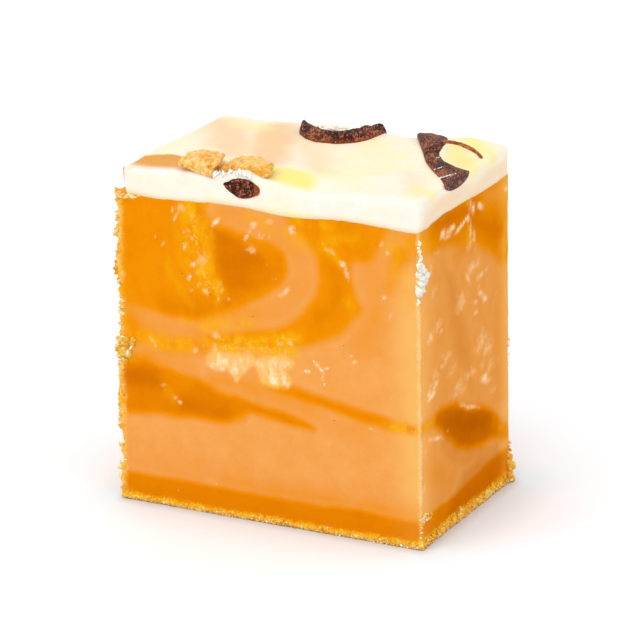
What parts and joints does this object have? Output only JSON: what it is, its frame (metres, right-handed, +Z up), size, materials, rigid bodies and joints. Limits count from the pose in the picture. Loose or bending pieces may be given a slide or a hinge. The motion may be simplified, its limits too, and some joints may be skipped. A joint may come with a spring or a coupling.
{
  "type": "fudge square",
  "caption": "Cut square of layered caramel and vanilla fudge under white chocolate, topped with dark chocolate swirls and toffee pieces.",
  "frame": {"origin": "centre of the overall box's footprint, on the flat underside", "axes": "+Z up through the layers, -Y out of the broad front cut face, +X out of the narrow cut face"},
  "size_m": [0.0403, 0.0264, 0.0449],
  "materials": {
    "caramel_base": "dense caramel fudge, satin, crumbly at the lower edge",
    "vanilla_fudge": "smooth peach-coloured fudge, satin",
    "marbled_fudge": "caramel fudge marbled with peach-coloured fudge and pale sugar crystals, satin cut face",
    "white_chocolate": "white chocolate, soft sheen, with faint yellow and peach swirls",
    "dark_chocolate": "dark chocolate, dusty satin",
    "toffee": "broken amber toffee, glossy"
  },
  "bodies": {
    "root": {"fudge_base": "caramel_base", "fudge_peach": "vanilla_fudge", "fudge_marbled": "marbled_fudge", "icing": "white_chocolate", "chocolate_curl_back": "dark_chocolate", "chocolate_curl_right": "dark_chocolate", "chocolate_chunk": "dark_chocolate", "toffee_left": "toffee", "toffee_right": "toffee"}
  },
  "joints": []
}
